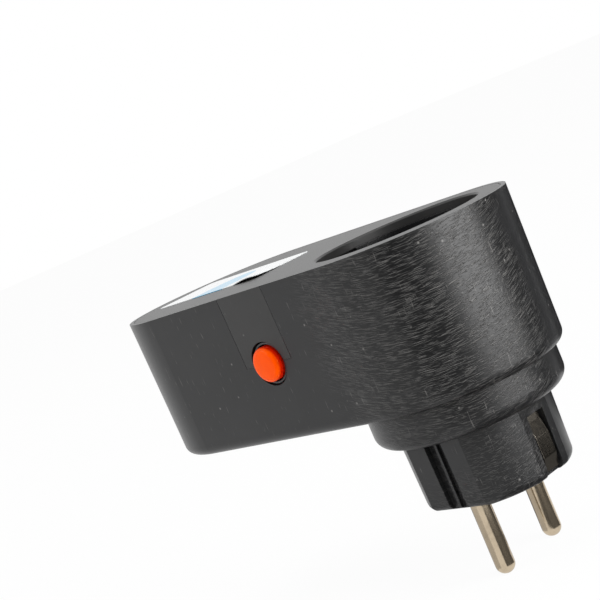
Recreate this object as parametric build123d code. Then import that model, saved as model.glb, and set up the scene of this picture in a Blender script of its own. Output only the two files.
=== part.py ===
from build123d import *
import os
from math import cos, radians, sin, tan

# Overload protection socket adapter: a plug below, a stadium housing, a socket above, a reset button beside.
# Millimetres. The origin is the middle of the plug's flat face. +Z points out of the socket.
# The socket and the plug share the Z axis, the housing runs towards -X and the button is on the -Y wall.

# Housing
HOUSING_LENGTH = 121.0
HOUSING_WIDTH = 54.0
HOUSING_HEIGHT = 38.0
HOUSING_DRAFT = 1.0
BOTTOM_FILLET = 2.5
WALL = 2.2
FLOOR = 2.4
RIM_WALL = 1.2

# Plug body under the housing
COLLAR_RADIUS = 23.7
COLLAR_HEIGHT = 8.8
COLLAR_FILLET = 3.3
COLLAR_WALL = 2.7
NOSE_RADIUS = 18.6
NOSE_HEIGHT = 17.8
NOSE_DRAFT = 1.5
NOSE_FLAT_Y = 16.5
NOSE_FLAT_X = 17.9
NOSE_FILLET = 2.0
NOSE_FLOOR = 3.0
NOSE_BORE = 13.2
GROOVE_WIDTH = 5.5
GROOVE_DEPTH = 1.8
GROOVE_RIB = 0.8
EARTH_SLOT_WIDTH = 6.0
EARTH_SLOT_DEPTH = 2.7
EARTH_SLOT_HEIGHT = 15.0

# Plug pins
PIN_RADIUS = 2.4
PIN_LENGTH = 19.0
PIN_TIP_FILLET = 2.28
PIN_SPACING = 19.0
PIN_ROOT_RADIUS = 2.7
PIN_FLANGE_RADIUS = 3.5
PIN_FLANGE = 1.5
PIN_TAIL_RADIUS = 2.0
PIN_TAIL = 4.6
CUP_BORE = 1.3
CUP_FLOOR = 0.6
RETAINER_THICKNESS = 2.0
RETAINER_SCREW_X = 8.4
RETAINER_POST = 2.2
RETAINER_BITE = 1.8

# Front cover and label
COVER_THICKNESS = 2.2
OPENING_MARGIN = 0.3
OPENING_CHAMFER = 0.4
COVER_EDGE = 0.3
TAB_WIDTH = 16.9
TONGUE_WIDTH = 10.0
TONGUE_HEIGHT = 1.0
TONGUE_REACH = 0.6
LABEL_LENGTH = 42.8
LABEL_WIDTH = 20.7
LABEL_END_GAP = 9.4
LABEL_THICKNESS = 0.15
LABEL_CORNER = 2.0

# Socket insert
RECESS_RADIUS = 19.9
RECESS_DEPTH = 17.5
INSERT_WALL = 1.6
INSERT_FLOOR = 3.0
CONTACT_HOLE = 2.75
RIB_WIDTH = 5.0
RIB_X = 6.0
RIB_REACH = 3.3
RIB_DROP = 1.2
RIB_SLOPE = 0.8
RIB_ROOT = 0.2
LEDGE_DEPTH = 0.9
LEDGE_HEIGHT = 6.0
LEDGE_EARTH_GAP = 10.8
LEDGE_RIB_GAP = 1.4
FLOOR_STEP = 0.4
FLOOR_STEP_Y = 2.4
EAR_THICKNESS = 2.5
EAR_DROP = 14.5
EAR_WEB = 4.0
INSERT_BOSS_RADIUS = 2.4
INSERT_BOSS_ANGLES = (135, 225)

# Earth straps
STRAP_THICKNESS = 0.8
STRAP_WIDTH = 4.8
STRAP_BEND = 0.8
STRAP_LOWER_INSET = 1.8
STRAP_UPPER_INSET = 0.9
STRAP_JOG_LOW = 8.0
STRAP_JOG_HIGH = 12.0
CLIP_CURL = 1.6
CLIP_TOP_DROP = 5.5
CLIP_BEND = 1.0
CLIP_POCKET = 8.4
CLIP_POCKET_IN = 2.2
CLIP_POCKET_OUT = 0.7
CLIP_POCKET_SINK = 1.2
STRAP_FOOT_Z = 1.2
STRAP_BULGE = 0.9
STRAP_BULGE_LOW = 4.6
STRAP_BULGE_HIGH = 9.6
STRAP_BULGE_END = 13.0
CLIP_LEAN = 0.5
CLIP_LEAF = 4.5
CLIP_TIP_IN = 0.9
CLIP_TIP_DROP = 8.5
BRIDGE_WIDTH = 5.6
BRIDGE_LIFT = 1.0
BRIDGE_UPSTAND = 2.2
EARTH_RIVET_RADIUS = 1.0
EARTH_RIVET_HEAD = 1.7
EARTH_RIVET_HEAD_HEIGHT = 0.7
EARTH_RIVET_LIFT = 4.6

# Contact carrier, contacts and shutter
CARRIER_HALF_X = 12.5
CARRIER_HALF_Y = 15.5
CARRIER_DEPTH = 10.7
CARRIER_CORNER = 3.0
CARRIER_FLOOR = 1.4
CARRIER_POST = 2.0
CARRIER_POST_X = 9.6
CARRIER_POST_Y = 13.2
POCKET_X = 4.6
POCKET_Y = 3.4
CONTACT_THICKNESS = 0.8
CONTACT_WIDTH = 6.0
CONTACT_LEAF_X = 3.6
CONTACT_THROAT_X = 2.3
CONTACT_LEG = 2.0
CONTACT_LIP_OUT = 0.9
CONTACT_LIP_HEIGHT = 2.2
CONTACT_TOP_GAP = 0.6
TAIL_REACH = 4.2
BARREL_LENGTH = 4.5
BARREL_WALL = 0.55
SHUTTER_THICKNESS = 3.0
SHUTTER_LENGTH = 16.6
SHUTTER_HALF_Y = 13.4
SHUTTER_TRAVEL = 6.5
SHUTTER_WINDOW = 2.9
SHUTTER_LIP = 2.0
SHUTTER_CORNER = 1.0
SHUTTER_SLOT_HALF = 1.7
RAMP_LENGTH = 7.2
RAMP_HALF_Y = 3.2
RAMP_DEPTH = 0.8
RAMP_X = 0.6
RAMP_REACH = 3.4
RAMP_ANGLE = 28.0
SPRING_POST_X = 3.0
SPRING_POST = 1.4
SPRING_POST_HALF = 1.5
SPRING_BACK_X = -8.0
SHUTTER_SPRING_RADIUS = 1.0
SHUTTER_SPRING_TURNS = 5
LINK_OFFSET = 2.9
LINK_FOOT = 3.2
LINK_HEAD = 1.5

# Overload breaker
BREAKER_WIDTH = 15.0
BREAKER_REAR = 2.0
BREAKER_WALL = 1.5
BREAKER_CORNER = 1.5
BREAKER_SIDE_GAP = 0.6
BREAKER_FRONT_GAP = 1.8
BREAKER_TOP_GAP = 0.4
CRADLE_HEIGHT = 5.0
CRADLE_WIDTH = 1.4
BUTTON_DROP = 18.3
BUTTON_RADIUS = 4.6
BUTTON_PROUD = 2.5
BUTTON_FILLET = 0.9
BUTTON_TRAVEL = 2.8
FLANGE_RADIUS = 5.7
FLANGE_THICKNESS = 1.2
STEM_RADIUS = 1.8
STEM_CLEARANCE = 0.2
BUSH_RADIUS = 5.2
BUSH_FLANGE = 6.6
BUSH_RECESS = 0.5
BUSH_LIP = 0.5
BUSH_FLANGE_THICKNESS = 0.8
BUTTON_HOLE = 5.6
RETURN_SPRING_LENGTH = 4.1
RETURN_SPRING_RADIUS = 3.2
RETURN_SPRING_TURNS = 3
GUIDE_THICKNESS = 1.2
GUIDE_HALF = 7.5
SLIDER_LENGTH = 4.0
SLIDER_TOP = 2.2
SLIDER_BOTTOM = 3.0
SLIDER_HALF = 3.2
SLIDER_POST = 1.2
FLAG_THICKNESS = 0.7
TIP_HEIGHT = 0.4
TIP_RADIUS = 1.5
BIMETAL_WIDTH = 5.0
BIMETAL_THICKNESS = 0.6
BIMETAL_RIVET = 0.8
BIMETAL_RIVET_HEAD = 1.3
BIMETAL_RIVET_HEAD_HEIGHT = 0.5
RIVET_INSET = 3.6
RIVET_RADIUS = 1.2
RIVET_HEAD = 2.0
RIVET_HEAD_HEIGHT = 0.4
RIVET_BOSS = 1.0
TERMINAL_THICKNESS = 0.8
TERMINAL_WIDTH = 6.3
TERMINAL_OUT = 8.5
TERMINAL_BEND = 0.3
JOG_GAP = 2.0
JOG_TO_RIVET = 2.2
LINE_TERMINAL_LIFT = 8.8
LOAD_TERMINAL_DROP = 6.7
LOAD_BLADE_NOSE = 1.6
SLEEVE_WALL = 0.6
SLEEVE_HALF = 1.2
SLEEVE_BARREL = 5.0

# Wires, springs and screws
WIRE_RADIUS = 1.2
WIRE_ARC = 0.45
SPRING_WIRE = 0.3
SCREW_RADIUS = 1.5
SCREW_LENGTH = 16.0
SCREW_HEAD = 2.8
SCREW_HEAD_HEIGHT = 2.0
SCREW_HEAD_CHAMFER = 0.3
SCREW_RECESS = 0.55
SCREW_POST_HEIGHT = 3.6
SCREW_POST_WALL = 1.5
SCREW_SEAT = 1.6
SCREW_BOSS = 3.0
BOSS_ROOF = 2.0
SCREW_SIDE_INSET = 8.1
SCREW_BESIDE_BREAKER = 5.9
SCREW_END_INSET = 14.0
SCREW_END_Y = 13.0
SMALL_SCREW_RADIUS = 1.1
SMALL_SCREW_LENGTH = 9.0
SMALL_SCREW_HEAD = 2.0
SMALL_SCREW_HEAD_HEIGHT = 1.4

# Clearances
GAP = 0.1
RUNNING = 0.15
SLOT_GAP = 0.3
SEAM = 0.05

# Derived levels and radii
COLLAR_Z = NOSE_HEIGHT
HOUSING_Z = COLLAR_Z + COLLAR_HEIGHT
TOP_Z = HOUSING_Z + HOUSING_HEIGHT
COVER_Z = TOP_Z - COVER_THICKNESS
FLOOR_Z = HOUSING_Z + FLOOR
COLLAR_FLOOR_Z = COLLAR_Z + FLOOR
COLLAR_INNER = COLLAR_RADIUS - COLLAR_WALL
HALF_WIDTH = HOUSING_WIDTH / 2
INNER_HALF = HALF_WIDTH - WALL
SPAN = HOUSING_LENGTH - HOUSING_WIDTH
FAR_X = HALF_WIDTH - HOUSING_LENGTH
RECESS_Z = TOP_Z - RECESS_DEPTH
INSERT_Z = RECESS_Z - INSERT_FLOOR
INSERT_RADIUS = RECESS_RADIUS + INSERT_WALL
INSERT_TOP = COVER_Z
COVER_OPENING = RECESS_RADIUS + OPENING_MARGIN
PIN_Y = PIN_SPACING / 2
EAR_TOP = TOP_Z - EAR_DROP
BOSS_REACH = INSERT_RADIUS + INSERT_BOSS_RADIUS + GAP
LABEL_X = FAR_X + LABEL_END_GAP + LABEL_LENGTH / 2
RETAINER_Z = NOSE_FLOOR + PIN_FLANGE
PIN_TAIL_TOP = RETAINER_Z + PIN_TAIL
STRAP_LOWER_X = NOSE_FLAT_X - STRAP_LOWER_INSET
STRAP_UPPER_X = RECESS_RADIUS - STRAP_UPPER_INSET

# Derived places of the contacts under the socket
CARRIER_TOP = INSERT_Z - RUNNING - SHUTTER_THICKNESS - SEAM
CARRIER_BOTTOM = CARRIER_TOP - CARRIER_DEPTH
CONTACT_BASE_Z = CARRIER_BOTTOM + CARRIER_FLOOR + CONTACT_THICKNESS
LINK_Y = PIN_Y + LINK_OFFSET
EARTH_RIVET_Z = COLLAR_FLOOR_Z + EARTH_RIVET_LIFT
BARREL_X = -CARRIER_HALF_X - TAIL_REACH + WIRE_RADIUS + BARREL_WALL
BARREL_Z = CONTACT_BASE_Z + WIRE_RADIUS + SEAM
BARREL_Y = -PIN_Y + CONTACT_WIDTH / 2

# Derived places of the breaker and inside it
BREAKER_X = -(INSERT_RADIUS + BREAKER_SIDE_GAP + BREAKER_WIDTH / 2)
BREAKER_FRONT = INNER_HALF - BREAKER_FRONT_GAP
BREAKER_Z0 = FLOOR_Z
BREAKER_Z1 = COVER_Z - BREAKER_TOP_GAP
BUTTON_Z = TOP_Z - BUTTON_DROP
WALL_AT_BUTTON = HALF_WIDTH - BUTTON_DROP * tan(radians(HOUSING_DRAFT))
LINE_TERMINAL_Z = BREAKER_Z0 + LINE_TERMINAL_LIFT
LOAD_TERMINAL_Z = BREAKER_Z1 - LOAD_TERMINAL_DROP
RIVET_FRONT_Y = -BREAKER_FRONT + RIVET_INSET
RIVET_REAR_Y = BREAKER_REAR - RIVET_INSET
RIVET_POINTS = [
    (y, z)
    for y in (RIVET_FRONT_Y, RIVET_REAR_Y)
    for z in (BREAKER_Z0 + RIVET_INSET, BREAKER_Z1 - RIVET_INSET)
]
BUSH_END_Y = -BREAKER_FRONT + BREAKER_WALL + BUSH_LIP
FLANGE_Y = BUSH_END_Y + BUTTON_TRAVEL + GAP
RETURN_SPRING_Y = FLANGE_Y + FLANGE_THICKNESS
GUIDE_Y = RETURN_SPRING_Y + RETURN_SPRING_LENGTH
SLIDER_Y = GUIDE_Y + GUIDE_THICKNESS + BUTTON_TRAVEL + 2 * GAP
SLIDER_END_Y = SLIDER_Y + SLIDER_LENGTH
FIXED_Z = BUTTON_Z + SLIDER_TOP + 2 * GAP + TERMINAL_THICKNESS / 2
TIP_Z = FIXED_Z + TERMINAL_THICKNESS / 2 + TIP_HEIGHT
FLAG_Z = TIP_Z + GAP
BIMETAL_Z = FLAG_Z + FLAG_THICKNESS + 4 * GAP
TIP_Y = SLIDER_Y + 2 * GAP
JOG_Y = SLIDER_END_Y + JOG_GAP
BIMETAL_RIVET_Y = JOG_Y - JOG_TO_RIVET
TERMINAL_END_Y = BREAKER_REAR + TERMINAL_OUT
WIRE_START_Y = TERMINAL_END_Y + SLEEVE_WALL

# The level at which the supply wire passes between the earth bridge and the contact carrier
WIRE_PASS_Z = (COLLAR_FLOOR_Z + BRIDGE_LIFT + STRAP_THICKNESS + CARRIER_BOTTOM) / 2

# Derived places of the cover's screws: two beside the breaker and two near the far end
SCREW_MIDDLE_X = BREAKER_X - BREAKER_WIDTH / 2 - SCREW_BESIDE_BREAKER
COVER_SCREWS = [(SCREW_MIDDLE_X, side * (HALF_WIDTH - SCREW_SIDE_INSET)) for side in (-1, 1)]
COVER_SCREWS += [(FAR_X + SCREW_END_INSET, side * (HALF_WIDTH - SCREW_END_Y)) for side in (-1, 1)]


def cylinder(radius, z0, z1, x=0.0, y=0.0):
    """A round post from z0 to z1."""
    low = (Align.CENTER, Align.CENTER, Align.MIN)
    return Pos(x, y, z0) * Cylinder(radius, z1 - z0, align=low)


def block(x0, x1, y0, y1, z0, z1):
    """A box between two corners."""
    low = (Align.MIN, Align.MIN, Align.MIN)
    return Pos(x0, y0, z0) * Box(x1 - x0, y1 - y0, z1 - z0, align=low)


def rod_y(radius, y0, y1, x, z):
    """A round post along Y."""
    return Pos(x, (y0 + y1) / 2, z) * Rot(90, 0, 0) * Cylinder(radius, y1 - y0)


def rod_x(radius, x0, x1, y, z):
    """A round post along X."""
    return Pos((x0 + x1) / 2, y, z) * Rot(0, 90, 0) * Cylinder(radius, x1 - x0)


def stadium(half_width, z0, z1, draft=0.0):
    """The housing's outline at the top level, drawn downwards from z1 to z0, narrower below by the draft."""
    outline = Pos(-SPAN / 2, 0, z1) * SlotCenterToCenter(SPAN, 2 * half_width)
    return extrude(outline, amount=-(z1 - z0), taper=draft)


def strip(points, thickness, width, plane, bend=STRAP_BEND):
    """A bent metal strip: a centre line in a plane, rounded at its corners, with a thickness and a width."""
    half = thickness / 2
    radius = bend + half
    path = [Vector(*p) for p in points]
    corners = []
    for before, at, after in zip(path, path[1:], path[2:]):
        d0 = (at - before).normalized()
        d1 = (after - at).normalized()
        turn = radians(d0.get_angle(d1))
        side = 1 if d0.X * d1.Y - d0.Y * d1.X > 0 else -1
        run = radius * tan(turn / 2)
        centre = at - d0 * run + Vector(-d0.Y, d0.X) * (side * radius)
        corners.append((at, d0, d1, run, centre, side))

    def edge_line(shift):
        """The centre line moved sideways: its straight runs and arcs, in order."""
        edges = []
        d = (path[1] - path[0]).normalized()
        start = path[0] + Vector(-d.Y, d.X) * shift
        for at, d0, d1, run, centre, side in corners:
            into = at - d0 * run + Vector(-d0.Y, d0.X) * shift
            out = at + d1 * run + Vector(-d1.Y, d1.X) * shift
            middle = centre + (at - centre).normalized() * (radius - side * shift)
            edges.append(Line(start, into))
            edges.append(ThreePointArc(into, middle, out))
            start = out
        d = (path[-1] - path[-2]).normalized()
        end = path[-1] + Vector(-d.Y, d.X) * shift
        edges.append(Line(start, end))
        return edges

    left = edge_line(half)
    right = edge_line(-half)
    caps = [Line(left[0] @ 0, right[0] @ 0), Line(left[-1] @ 1, right[-1] @ 1)]
    face = make_face(left + right + caps)
    return extrude(plane * face, amount=width / 2, both=True)


def wire(points, radius):
    """An insulated wire: straight runs joined by arcs as large as the runs allow."""
    path = [Vector(*p) for p in points]
    radii = []
    for before, at, after in zip(path, path[1:], path[2:]):
        short = min((at - before).length, (after - at).length)
        turn = radians((at - before).get_angle(after - at))
        radii.append(WIRE_ARC * short / tan(turn / 2))
    line = FilletPolyline(*path, radius=radii)
    print("wire radii", [round(r, 1) for r in radii], "length", round(line.length, 1))
    start = Plane(origin=line @ 0, z_dir=line % 0)
    return sweep(start * Circle(radius), path=line)


def screw(x, y, head_z, length, radius, head_radius, head_height, up=1, recess=False):
    """A pan-head screw; its head face is at head_z and its shank runs up or down."""
    head = cylinder(head_radius, 0, head_height)
    head = chamfer(head.edges().group_by(Axis.Z)[0], head_height * SCREW_HEAD_CHAMFER)
    body = head + cylinder(radius, head_height, head_height + length)
    if recess:
        slot = head_radius * SCREW_RECESS
        for angle in (0, 90):
            body -= Rot(0, 0, angle) * block(-slot, slot, -SLOT_GAP, SLOT_GAP, 0, head_height * SCREW_RECESS)
    if up < 0:
        body = Rot(180, 0, 0) * body
    return Pos(x, y, head_z) * body


def at_angle(radius, angle):
    """A point on a circle about the socket's axis."""
    return radius * cos(radians(angle)), radius * sin(radians(angle))


# Housing: one moulding of stadium box, collar and hollow plug nose

def housing_outside():
    box = stadium(HALF_WIDTH, HOUSING_Z, TOP_Z, HOUSING_DRAFT)
    return fillet(box.edges().group_by(Axis.Z)[0], BOTTOM_FILLET)


def nose_outside():
    outline = Circle(NOSE_RADIUS) & Rectangle(2 * NOSE_FLAT_X, 2 * NOSE_FLAT_Y)
    nose = extrude(Pos(0, 0, NOSE_HEIGHT) * outline, amount=-NOSE_HEIGHT, taper=NOSE_DRAFT)
    nose = fillet(nose.edges().group_by(Axis.Z)[0], NOSE_FILLET)
    # The guide groove beside each pin, with its fine middle rib
    for side in (-1, 1):
        deep = NOSE_FLAT_Y - GROOVE_DEPTH
        near, far = sorted((side * deep, side * (NOSE_RADIUS + 1)))
        groove = block(-GROOVE_WIDTH / 2, GROOVE_WIDTH / 2, near, far, 0, NOSE_HEIGHT)
        near, far = sorted((side * deep, side * (deep + GROOVE_DEPTH / 2)))
        rib = block(-GROOVE_RIB / 2, GROOVE_RIB / 2, near, far, 0, NOSE_HEIGHT)
        nose -= groove - rib
    # The open slot over each earth strip
    for side in (-1, 1):
        deep = NOSE_FLAT_X - EARTH_SLOT_DEPTH
        near, far = sorted((side * deep, side * (NOSE_RADIUS + 1)))
        half = EARTH_SLOT_WIDTH / 2
        nose -= block(near, far, -half, half, 0, EARTH_SLOT_HEIGHT)
    return nose


def cover_tongue(clearance):
    """The tongue at the socket end of the cover, and with a clearance its pocket in the housing's rim."""
    reach = HALF_WIDTH - RIM_WALL + TONGUE_REACH + clearance
    half = TONGUE_WIDTH / 2 + clearance
    tongue = stadium(reach, COVER_Z, COVER_Z + TONGUE_HEIGHT + clearance)
    return tongue & block(INSERT_RADIUS, HALF_WIDTH, -half, half, COVER_Z, TOP_Z)


def base_shell():
    collar = cylinder(COLLAR_RADIUS, COLLAR_Z, HOUSING_Z)
    collar = fillet(collar.edges().group_by(Axis.Z)[0], COLLAR_FILLET)
    shell = housing_outside() + collar + nose_outside()

    # The hollow inside, from the nose up to the cover's seat
    shell -= cylinder(NOSE_BORE, NOSE_FLOOR, COLLAR_FLOOR_Z)
    shell -= cylinder(COLLAR_INNER, COLLAR_FLOOR_Z, FLOOR_Z)
    shell -= stadium(INNER_HALF, FLOOR_Z, TOP_Z, HOUSING_DRAFT)
    shell -= stadium(HALF_WIDTH - RIM_WALL, COVER_Z, TOP_Z)
    shell -= cover_tongue(SEAM)

    # Pin holes, the passages for the earth straps and the bosses under the pin retainer
    for side in (-1, 1):
        shell -= cylinder(PIN_ROOT_RADIUS + SEAM, 0, NOSE_FLOOR, 0, side * PIN_Y)
        near = STRAP_LOWER_X - STRAP_THICKNESS / 2 - SLOT_GAP
        far = STRAP_LOWER_X + STRAP_THICKNESS / 2 + SLOT_GAP
        near, far = sorted((side * near, side * far))
        half = STRAP_WIDTH / 2 + SLOT_GAP
        shell -= block(near, far, -half, half, EARTH_SLOT_HEIGHT - 1, COLLAR_FLOOR_Z)
        shell += cylinder(RETAINER_POST, NOSE_FLOOR, RETAINER_Z, side * RETAINER_SCREW_X)
        shell -= cylinder(SMALL_SCREW_RADIUS, NOSE_FLOOR - RETAINER_BITE, RETAINER_Z, side * RETAINER_SCREW_X)

    # Posts that carry the contact carrier
    for x in (-CARRIER_POST_X, CARRIER_POST_X):
        for y in (-CARRIER_POST_Y, CARRIER_POST_Y):
            shell += cylinder(CARRIER_POST, COLLAR_FLOOR_Z, CARRIER_BOTTOM, x, y)

    # Screw posts, each with a counterbore open at the back
    for x, y in COVER_SCREWS:
        seat = FLOOR_Z + SCREW_SEAT
        top = FLOOR_Z + SCREW_POST_HEIGHT
        shell += cylinder(SCREW_HEAD + SCREW_POST_WALL, FLOOR_Z, top, x, y)
        shell -= cylinder(SCREW_HEAD + SLOT_GAP, HOUSING_Z, seat, x, y)
        shell -= cylinder(SCREW_RADIUS + RUNNING, seat, top, x, y)

    # A cradle of two low ribs beside the breaker, between its rivets
    for side in (-1, 1):
        x = BREAKER_X + side * (BREAKER_WIDTH / 2 + GAP)
        near, far = sorted((x, x + side * CRADLE_WIDTH))
        front = RIVET_FRONT_Y + RIVET_HEAD + BREAKER_SIDE_GAP
        rear = RIVET_REAR_Y - RIVET_HEAD - BREAKER_SIDE_GAP
        shell += block(near, far, front, rear, FLOOR_Z, FLOOR_Z + CRADLE_HEIGHT)

    # The notch for the cover's tab and the lower half of the button hole
    half = TAB_WIDTH / 2 + SEAM
    shell -= block(BREAKER_X - half, BREAKER_X + half, -HALF_WIDTH, -INNER_HALF + WALL / 2, BUTTON_Z, TOP_Z)
    shell -= rod_y(BUTTON_HOLE, -HALF_WIDTH, -INNER_HALF + WALL / 2, BREAKER_X, BUTTON_Z)
    return shell


def front_cover():
    plate = stadium(HALF_WIDTH - RIM_WALL - SEAM, COVER_Z, TOP_Z)
    plate = fillet(plate.edges().group_by(Axis.Z)[-1], COVER_EDGE)
    # The tab hangs from the plate's edge, flush with the housing's drafted wall
    half = TAB_WIDTH / 2 - SEAM
    slab = block(BREAKER_X - half, BREAKER_X + half, -HALF_WIDTH, -INNER_HALF + 1, BUTTON_Z + SEAM, TOP_Z)
    tab = (slab & housing_outside()) - stadium(INNER_HALF, FLOOR_Z, COVER_Z + 1, HOUSING_DRAFT)
    cover = plate + tab + cover_tongue(0)
    cover -= rod_y(BUTTON_HOLE, -HALF_WIDTH, -INNER_HALF + WALL / 2, BREAKER_X, BUTTON_Z)
    cover -= cylinder(COVER_OPENING, COVER_Z, TOP_Z)
    rim = cover.edges().filter_by(GeomType.CIRCLE).filter_by(lambda e: abs(e.radius - COVER_OPENING) < 0.01)
    cover = chamfer(rim.group_by(Axis.Z)[-1], OPENING_CHAMFER)

    # Bosses for the housing screws and for the insert's screws
    for x, y in COVER_SCREWS:
        low = FLOOR_Z + SCREW_POST_HEIGHT
        cover += cylinder(SCREW_BOSS, low, COVER_Z, x, y)
        cover -= cylinder(SCREW_RADIUS - SEAM, low, COVER_Z - BOSS_ROOF, x, y)
    for angle in INSERT_BOSS_ANGLES:
        x, y = at_angle(BOSS_REACH, angle)
        cover += cylinder(INSERT_BOSS_RADIUS, EAR_TOP, COVER_Z, x, y)
        cover -= cylinder(SMALL_SCREW_RADIUS, EAR_TOP, COVER_Z - BOSS_ROOF, x, y)
    return cover


def rating_label():
    outline = RectangleRounded(LABEL_LENGTH, LABEL_WIDTH, LABEL_CORNER)
    return extrude(Pos(LABEL_X, 0, TOP_Z) * outline, amount=LABEL_THICKNESS)


# Socket insert: the round recess with its ribs, ledges, contact holes and earth pockets

def socket_insert():
    cup = cylinder(INSERT_RADIUS, INSERT_Z, INSERT_TOP)
    low = EAR_TOP - EAR_THICKNESS
    for angle in INSERT_BOSS_ANGLES:
        x, y = at_angle(BOSS_REACH, angle)
        web_x, web_y = at_angle(BOSS_REACH - EAR_WEB / 2, angle)
        cup += cylinder(INSERT_BOSS_RADIUS, low, EAR_TOP, x, y)
        web = Rot(0, 0, angle) * Box(EAR_WEB, EAR_WEB, EAR_THICKNESS)
        cup += Pos(web_x, web_y, (low + EAR_TOP) / 2) * web
        cup -= cylinder(SMALL_SCREW_RADIUS + GAP, low, EAR_TOP, x, y)
    cup -= cylinder(RECESS_RADIUS, RECESS_Z, INSERT_TOP)
    wide = INSERT_RADIUS
    lower = RECESS_Z - FLOOR_STEP
    cup -= cylinder(RECESS_RADIUS, lower, RECESS_Z) & block(-wide, wide, FLOOR_STEP_Y, wide, lower, RECESS_Z)

    # A ledge round the lower wall, left open at the ribs and at the earth clips
    root = RECESS_RADIUS + RIB_ROOT
    ledge = cylinder(root, lower, RECESS_Z + LEDGE_HEIGHT)
    ledge -= cylinder(RECESS_RADIUS - LEDGE_DEPTH, lower, TOP_Z)
    half = LEDGE_EARTH_GAP / 2
    ledge -= block(-wide, wide, -half, half, lower, TOP_Z)
    half = RIB_X + RIB_WIDTH / 2 + LEDGE_RIB_GAP
    ledge -= block(-half, half, -wide, wide, lower, TOP_Z)
    cup += ledge

    # Two guide ribs on each side that has a contact hole, sloped at their tops
    for side in (-1, 1):
        for x in (-RIB_X, RIB_X):
            near, far = sorted((side * (RECESS_RADIUS - RIB_REACH), side * root))
            half = RIB_WIDTH / 2
            rib = block(x - half, x + half, near, far, lower, INSERT_TOP - RIB_DROP)
            top = rib.edges().filter_by(Axis.X).group_by(Axis.Z)[-1]
            rib = chamfer(top.sort_by(Axis.Y)[-1 if side < 0 else 0], RIB_SLOPE)
            cup += rib & cylinder(root, lower, TOP_Z)

    for side in (-1, 1):
        cup -= cylinder(CONTACT_HOLE, INSERT_Z, RECESS_Z, 0, side * PIN_Y)
        # The pocket in the wall behind each earth clip and the slot that the strap comes up through
        half = CLIP_POCKET / 2
        inner = STRAP_UPPER_X - CLIP_POCKET_IN
        outer = RECESS_RADIUS + CLIP_POCKET_OUT
        near, far = sorted((side * inner, side * outer))
        cup -= block(near, far, -half, half, RECESS_Z - CLIP_POCKET_SINK, INSERT_TOP)
        half = STRAP_WIDTH / 2 + SLOT_GAP
        inner = STRAP_UPPER_X - STRAP_THICKNESS / 2 - SLOT_GAP
        outer = STRAP_UPPER_X + STRAP_THICKNESS / 2 + SLOT_GAP
        near, far = sorted((side * inner, side * outer))
        cup -= block(near, far, -half, half, INSERT_Z, RECESS_Z)
    return cup


# Contacts under the socket

def contact_carrier():
    outline = RectangleRounded(2 * CARRIER_HALF_X, 2 * CARRIER_HALF_Y, CARRIER_CORNER)
    base = extrude(Pos(0, 0, CARRIER_BOTTOM) * outline, amount=INSERT_Z - CARRIER_BOTTOM)
    # The shutter's track, open upwards under the insert
    x0 = -SHUTTER_WINDOW - SHUTTER_TRAVEL - SHUTTER_LIP
    x1 = x0 + SHUTTER_LENGTH + SHUTTER_TRAVEL
    half = SHUTTER_HALF_Y + RUNNING
    base -= block(x0 - RUNNING, x1 + RUNNING, -half, half, CARRIER_TOP, INSERT_Z)
    # The fixed post that the shutter spring pushes on
    half = SPRING_POST_HALF
    base += block(SPRING_POST_X, SPRING_POST_X + SPRING_POST, -half, half, CARRIER_TOP, INSERT_Z - RUNNING)
    for side in (-1, 1):
        y = side * PIN_Y
        floor = CARRIER_BOTTOM + CARRIER_FLOOR
        base -= block(-POCKET_X, POCKET_X, y - POCKET_Y, y + POCKET_Y, floor, CARRIER_TOP)
    # The line contact's tail leaves sideways, the neutral link comes up through the floor
    z = CONTACT_BASE_Z
    half = CONTACT_WIDTH / 2 + GAP
    base -= block(-CARRIER_HALF_X, 0, -PIN_Y - half, -PIN_Y + half, z, z + CONTACT_THICKNESS + GAP)
    near = LINK_Y - CONTACT_THICKNESS - GAP
    far = LINK_Y + CONTACT_THICKNESS / 2 + GAP
    base -= block(-half, half, near, far, CARRIER_BOTTOM, CARRIER_TOP)
    return base


def clip_profile(half_gap, throat, top):
    """One side of a spring contact: foot, leg, throat and flared lip, in X and Z."""
    z = CONTACT_BASE_Z + CONTACT_THICKNESS / 2
    return [
        (0, z),
        (half_gap, z),
        (half_gap, z + CONTACT_LEG),
        (throat, top - CONTACT_LIP_HEIGHT),
        (throat + CONTACT_LIP_OUT, top),
    ]


def spring_contact():
    """Two leaves that grip a round pin from its two sides, folded from one strip."""
    throat = CONTACT_THROAT_X + CONTACT_THICKNESS / 2
    half = clip_profile(CONTACT_LEAF_X, throat, CARRIER_TOP - CONTACT_TOP_GAP)
    other = [(-x, z) for x, z in reversed(half)]
    return strip(other[:-1] + half[1:], CONTACT_THICKNESS, CONTACT_WIDTH, Plane.XZ, bend=TERMINAL_BEND)


def line_socket_contact():
    """The contact, its tail out of the carrier's side, and a barrel beside the tail that holds the wire."""
    contact = Pos(0, -PIN_Y, 0) * spring_contact()
    z = CONTACT_BASE_Z
    tail_end = -CARRIER_HALF_X - TAIL_REACH
    half = CONTACT_WIDTH / 2
    tail = block(tail_end, -CONTACT_LEAF_X, -PIN_Y - half, -PIN_Y + half, z, z + CONTACT_THICKNESS)
    near = BARREL_Y - BARREL_WALL
    far = BARREL_Y + BARREL_LENGTH
    barrel = rod_y(WIRE_RADIUS + BARREL_WALL, near, far, BARREL_X, BARREL_Z)
    bore = rod_y(WIRE_RADIUS + SEAM, near, far, BARREL_X, BARREL_Z)
    return contact + tail + (barrel - bore)


def neutral_socket_contact():
    return Pos(0, PIN_Y, 0) * spring_contact()


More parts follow.
